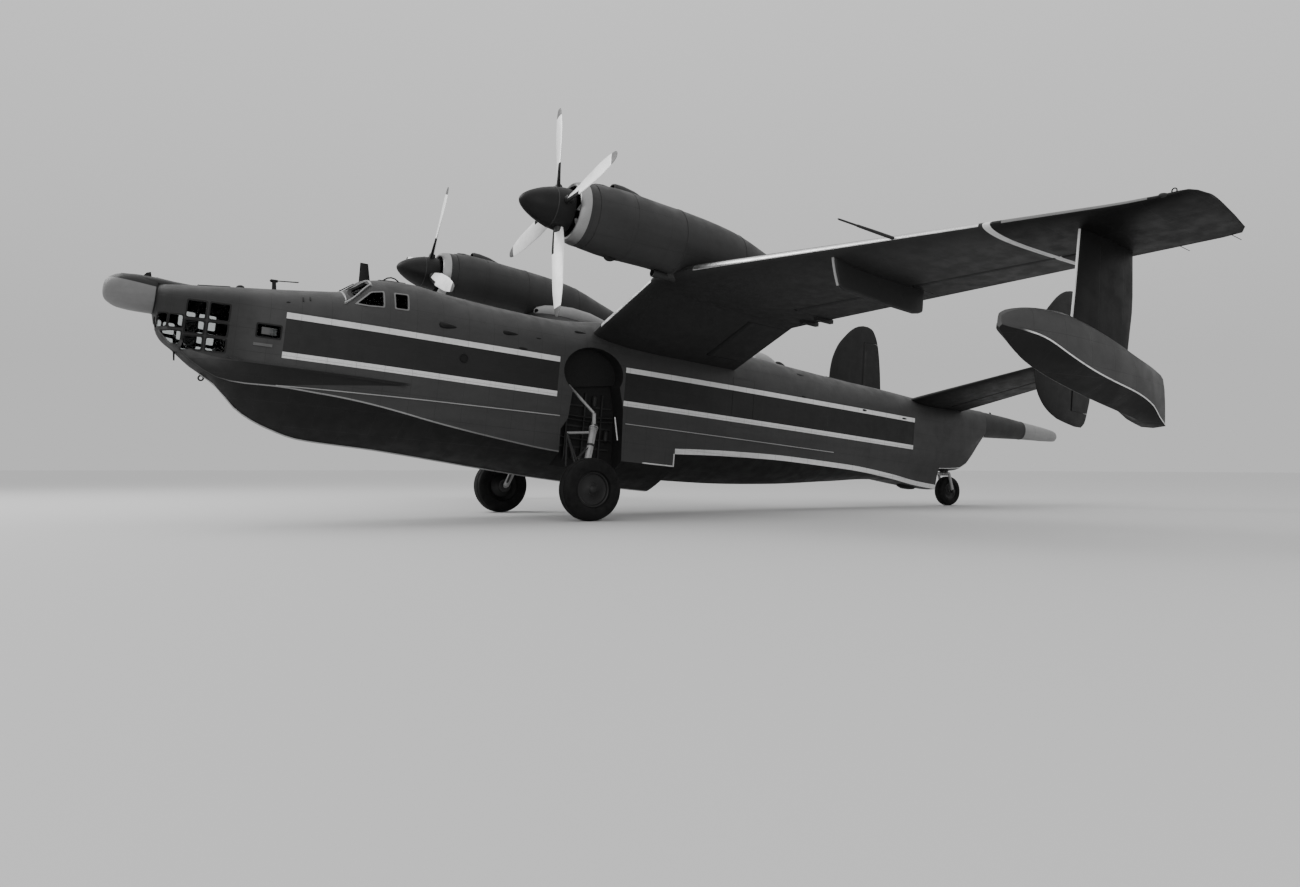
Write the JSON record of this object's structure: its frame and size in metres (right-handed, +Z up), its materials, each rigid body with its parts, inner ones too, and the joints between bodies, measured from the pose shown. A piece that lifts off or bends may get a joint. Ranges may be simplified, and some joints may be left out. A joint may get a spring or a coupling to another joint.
{
  "type": "twin-engined flying boat",
  "caption": "Amphibious flying boat with a stepped hull, gull wing, turboprop nacelles, wing floats, twin fins and a long tail boom, standing on its wheels.",
  "frame": {"origin": "on the ground under the centre of the bounding box", "axes": "+Z up, -Y towards the bow, +Y towards the tail boom's tip, +X to port"},
  "size_m": [29.84, 30.0431, 9.0977],
  "materials": {
    "hull_paint": "satin weathered paint",
    "wing_paint": "satin weathered paint",
    "radome": "pale matt dielectric paint",
    "pale_paint": "pale satin paint",
    "dark_trim": "dark satin paint",
    "bare_metal": "bare worn metal",
    "blade_metal": "brushed metal",
    "engine": "dark cast metal",
    "gear_paint": "grey enamel",
    "tyre": "matt rubber",
    "glass": "clear",
    "seat": "dark hide",
    "panel": "dark matt paint"
  },
  "bodies": {
    "airframe": {"radome": "radome", "nose_shell": "hull_paint", "nose_glazing": "glass", "navigator_seat": "seat", "hull_forward": "hull_paint", "canopy_frame": "hull_paint", "canopy_glazing": "glass", "pilot_seats": "seat", "instrument_panel": "panel", "hull_centre": "hull_paint", "hull_aft": "hull_paint", "hull_tail": "hull_paint", "tail_boom": "hull_paint", "tail_boom_tip": "pale_paint", "roof_aerial": "dark_trim", "pitot_boom": "bare_metal", "wing_inner_port": "wing_paint", "wing_inner_starboard": "wing_paint", "wing_outer_port": "wing_paint", "wing_outer_starboard": "wing_paint", "nacelle_port": "wing_paint", "nacelle_starboard": "wing_paint", "cowl_ring_port": "bare_metal", "cowl_ring_starboard": "bare_metal", "engine_block_port": "engine", "engine_block_starboard": "engine", "wing_float_port": "hull_paint", "wing_float_starboard": "hull_paint", "float_pylon_port": "wing_paint", "float_pylon_starboard": "wing_paint", "store_pylon_port": "wing_paint", "store_pylon_starboard": "wing_paint", "tailplane": "wing_paint", "fin_port": "wing_paint", "fin_starboard": "wing_paint", "main_leg_port": "gear_paint", "main_leg_starboard": "gear_paint"},
    "propeller_port": {"propeller_port": "blade_metal"},
    "propeller_starboard": {"propeller_starboard": "blade_metal"},
    "main_wheel_port": {"main_tyre_port": "tyre", "main_rim_port": "gear_paint"},
    "main_wheel_starboard": {"main_tyre_starboard": "tyre", "main_rim_starboard": "gear_paint"},
    "tail_steering": {"tail_fork": "gear_paint"},
    "tail_wheel": {"tail_tyre": "tyre", "tail_rim": "gear_paint"},
    "inner_flap_port": {"inner_flap_port": "wing_paint"},
    "inner_flap_starboard": {"inner_flap_starboard": "wing_paint"},
    "outer_flap_port": {"outer_flap_port": "wing_paint"},
    "outer_flap_starboard": {"outer_flap_starboard": "wing_paint"},
    "aileron_port": {"aileron_port": "wing_paint"},
    "aileron_starboard": {"aileron_starboard": "wing_paint"},
    "elevator_port": {"elevator_port": "wing_paint"},
    "elevator_starboard": {"elevator_starboard": "wing_paint"},
    "rudder_port": {"rudder_port": "wing_paint"},
    "rudder_starboard": {"rudder_starboard": "wing_paint"}
  },
  "joints": [
    {"name": "propeller_port_spin", "type": "hinge", "parent": "airframe", "child": "propeller_port", "pos_m": [4.164, -6.79035, 6.69061], "axis": [0, -0.9934, 0.1149], "continuous": true},
    {"name": "propeller_starboard_spin", "type": "hinge", "parent": "airframe", "child": "propeller_starboard", "pos_m": [-4.164, -6.79035, 6.69061], "axis": [0, -0.9934, 0.1149], "continuous": true},
    {"name": "main_wheel_port_spin", "type": "hinge", "parent": "airframe", "child": "main_wheel_port", "pos_m": [2.61, -5.1729, 0.71979], "axis": [1, 0, 0], "continuous": true},
    {"name": "main_wheel_starboard_spin", "type": "hinge", "parent": "airframe", "child": "main_wheel_starboard", "pos_m": [-2.61, -5.1729, 0.71979], "axis": [1, 0, 0], "continuous": true},
    {"name": "tail_steer", "type": "hinge", "parent": "airframe", "child": "tail_steering", "pos_m": [0, 9.2971, 1.2], "axis": [0, 0, 1], "range_deg": [-45, 45]},
    {"name": "tail_wheel_spin", "type": "hinge", "parent": "tail_steering", "child": "tail_wheel", "pos_m": [0, 9.4571, 0.47094], "axis": [1, 0, 0], "continuous": true},
    {"name": "inner_flap_port_swing", "type": "hinge", "parent": "airframe", "child": "inner_flap_port", "pos_m": [2.445, -1.03135, 4.61201], "axis": [-0.9397, -0.0228, -0.3413], "range_deg": [0, 35]},
    {"name": "inner_flap_starboard_swing", "type": "hinge", "parent": "airframe", "child": "inner_flap_starboard", "pos_m": [-2.445, -1.03135, 4.61201], "axis": [-0.9397, 0.0228, 0.3413], "range_deg": [0, 35]},
    {"name": "outer_flap_port_swing", "type": "hinge", "parent": "airframe", "child": "outer_flap_port", "pos_m": [6.67, -0.88773, 5.02218], "axis": [-0.9979, -0.064, -0.0023], "range_deg": [0, 35]},
    {"name": "outer_flap_starboard_swing", "type": "hinge", "parent": "airframe", "child": "outer_flap_starboard", "pos_m": [-6.67, -0.88773, 5.02218], "axis": [-0.9979, 0.064, 0.0023], "range_deg": [0, 35]},
    {"name": "aileron_port_swing", "type": "hinge", "parent": "airframe", "child": "aileron_port", "pos_m": [10.605, -0.66185, 5.03783], "axis": [-0.9978, -0.066, -0.0018], "range_deg": [-20, 20]},
    {"name": "aileron_starboard_swing", "type": "hinge", "parent": "airframe", "child": "aileron_starboard", "pos_m": [-10.605, -0.66185, 5.03783], "axis": [-0.9978, 0.066, 0.0018], "range_deg": [-20, 20]},
    {"name": "elevator_port_swing", "type": "hinge", "parent": "airframe", "child": "elevator_port", "pos_m": [2.42, 9.07969, 3.57637], "axis": [-0.9818, -0.0638, -0.1788], "range_deg": [-25, 20]},
    {"name": "elevator_starboard_swing", "type": "hinge", "parent": "airframe", "child": "elevator_starboard", "pos_m": [-2.42, 9.07969, 3.57637], "axis": [-0.9818, 0.0638, 0.1788], "range_deg": [-25, 20]},
    {"name": "rudder_port_swing", "type": "hinge", "parent": "airframe", "child": "rudder_port", "pos_m": [4.39, 9.91916, 4.38169], "axis": [0, 0.0906, 0.9959], "range_deg": [-25, 25]},
    {"name": "rudder_starboard_swing", "type": "hinge", "parent": "airframe", "child": "rudder_starboard", "pos_m": [-4.39, 9.91916, 4.38169], "axis": [0, 0.0906, 0.9959], "range_deg": [-25, 25]}
  ]
}
